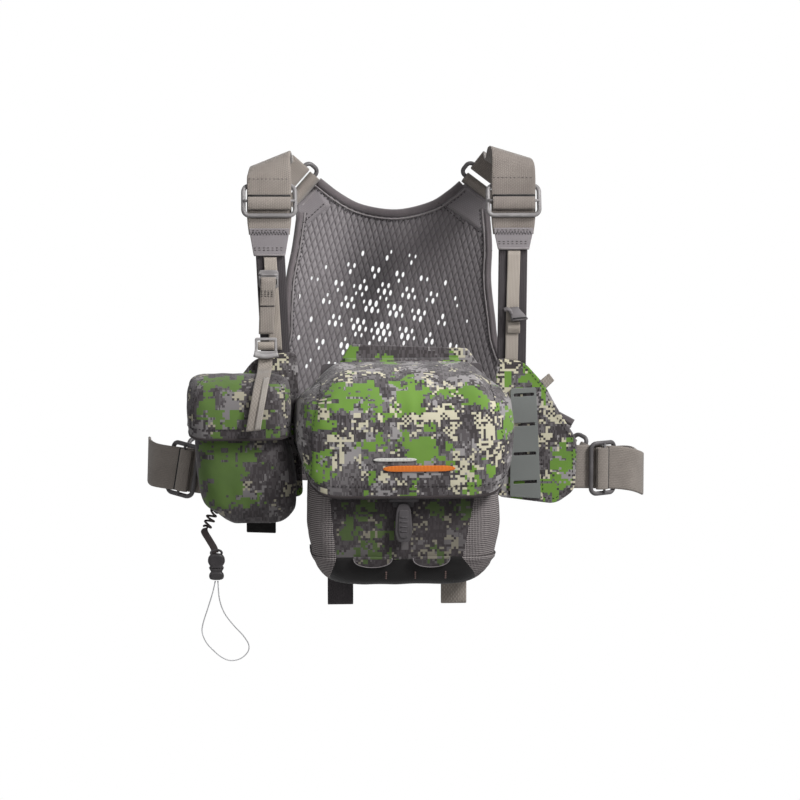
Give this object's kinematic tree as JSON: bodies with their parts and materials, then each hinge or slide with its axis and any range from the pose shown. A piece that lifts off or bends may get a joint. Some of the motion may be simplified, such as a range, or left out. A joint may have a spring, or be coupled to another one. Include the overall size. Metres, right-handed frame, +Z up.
{
  "type": "binocular chest harness",
  "caption": "Worn chest harness with a padded back panel, a hooded binocular pouch, a smaller accessory pouch with a tether, webbing straps and a slotted side wing.",
  "frame": {"origin": "midway between the tops of the two shoulder straps, where the harness hangs on its wearer", "axes": "+X is the viewer's right when facing the pouches, +Y goes from the pouches to the back panel, +Z is up"},
  "size_m": [0.4424, 0.302, 0.4402],
  "materials": {
    "webbing": "woven taupe webbing",
    "dark_webbing": "woven charcoal webbing",
    "grey_fabric": "quilted or plain grey cloth",
    "binding": "padded brushed edge binding",
    "camo": null,
    "slate": "laminated cloth with cut slots",
    "boot": "coated dark cloth",
    "foam": "closed-cell foam",
    "plastic": "fine matte texture",
    "light_plastic": "fine matte texture",
    "black_cord": "satin",
    "thin_cord": "braided"
  },
  "bodies": {
    "harness": {"shoulder_webbing_left": "webbing", "shoulder_webbing_right": "webbing", "side_strap_left": "webbing", "side_strap_right": "webbing", "narrow_webbing_left": "webbing", "narrow_webbing_right": "webbing", "lift_strap": "webbing", "ladder_roll": "webbing", "tail_upper": "webbing", "rear_keeper_left": "webbing", "rear_keeper_right": "webbing", "side_keeper_left": "webbing", "side_keeper_right": "webbing", "wing_tab": "webbing", "chest_strap_left": "dark_webbing", "chest_strap_right": "dark_webbing", "bottom_loop_left": "dark_webbing", "bottom_loop_right": "dark_webbing", "accessory_tab": "dark_webbing", "back_panel": "grey_fabric", "taper_patch_left": "grey_fabric", "taper_patch_right": "grey_fabric", "neck_binding": "binding", "arm_binding_left": "binding", "arm_binding_right": "binding", "wing_left": "camo", "wing_right": "camo", "hinge_strip": "camo", "pouch_body": "camo", "accessory_body": "camo", "molle_panel": "slate", "pouch_boot": "boot", "base_pad": "foam", "rear_ring_left": "plastic", "rear_ring_right": "plastic", "side_ring_left": "plastic", "side_ring_right": "plastic", "latch_catch": "plastic", "clip_upper": "plastic", "upper_glide": "light_plastic", "coil_tether": "black_cord", "tether_strap": "black_cord"},
    "main_lid": {"main_lid": "camo", "latch_bar": "plastic"},
    "pull_tab": {"pull_tab": "light_plastic"},
    "accessory_lid": {"accessory_lid": "camo", "tail_lower": "webbing"},
    "shoulder_slider_left": {"shoulder_slider_left": "plastic", "slider_roll_left": "webbing"},
    "shoulder_slider_right": {"shoulder_slider_right": "plastic", "slider_roll_right": "webbing"},
    "side_slider_left": {"side_slider_left": "plastic", "side_roll_left": "webbing"},
    "side_slider_right": {"side_slider_right": "plastic", "side_roll_right": "webbing"},
    "ladder_lock": {"ladder_lock": "light_plastic"},
    "keeper_hook": {"keeper_hook": "plastic"},
    "clip_lower": {"clip_lower": "plastic", "loop_cord": "thin_cord"}
  },
  "joints": [
    {"name": "lid_hinge", "type": "hinge", "parent": "harness", "child": "main_lid", "pos_m": [0, -0.107, -0.17], "axis": [-1, 0, 0], "range_deg": [0, 85]},
    {"name": "pull_tab_hinge", "type": "hinge", "parent": "main_lid", "child": "pull_tab", "pos_m": [-0.0025, -0.19, -0.2805], "axis": [-1, 0, 0], "range_deg": [0, 80]},
    {"name": "accessory_lid_hinge", "type": "hinge", "parent": "harness", "child": "accessory_lid", "pos_m": [-0.1385, -0.107, -0.183], "axis": [-1, 0, 0], "range_deg": [0, 40]},
    {"name": "shoulder_slider_left_slide", "type": "slide", "parent": "harness", "child": "shoulder_slider_left", "axis": [0, 0, 1], "range_m": [-0.007, 0.005]},
    {"name": "shoulder_slider_right_slide", "type": "slide", "parent": "harness", "child": "shoulder_slider_right", "axis": [0, 0, 1], "range_m": [-0.007, 0.005]},
    {"name": "side_slider_left_slide", "type": "slide", "parent": "harness", "child": "side_slider_left", "axis": [-0.9623, 0.2721, 0], "range_m": [-0.003, 0.003]},
    {"name": "side_slider_right_slide", "type": "slide", "parent": "harness", "child": "side_slider_right", "axis": [0.9623, 0.2721, 0], "range_m": [-0.003, 0.003]},
    {"name": "ladder_lock_hinge", "type": "hinge", "parent": "harness", "child": "ladder_lock", "pos_m": [-0.1155, -0.1072, -0.153], "axis": [-1, 0, 0], "range_deg": [0, 30]},
    {"name": "keeper_hook_slide", "type": "slide", "parent": "harness", "child": "keeper_hook", "axis": [0, 0, 1], "range_m": [-0.012, 0.012]},
    {"name": "clip_release", "type": "slide", "parent": "harness", "child": "clip_lower", "axis": [0, 0, -1], "range_m": [0, 0.012]}
  ]
}
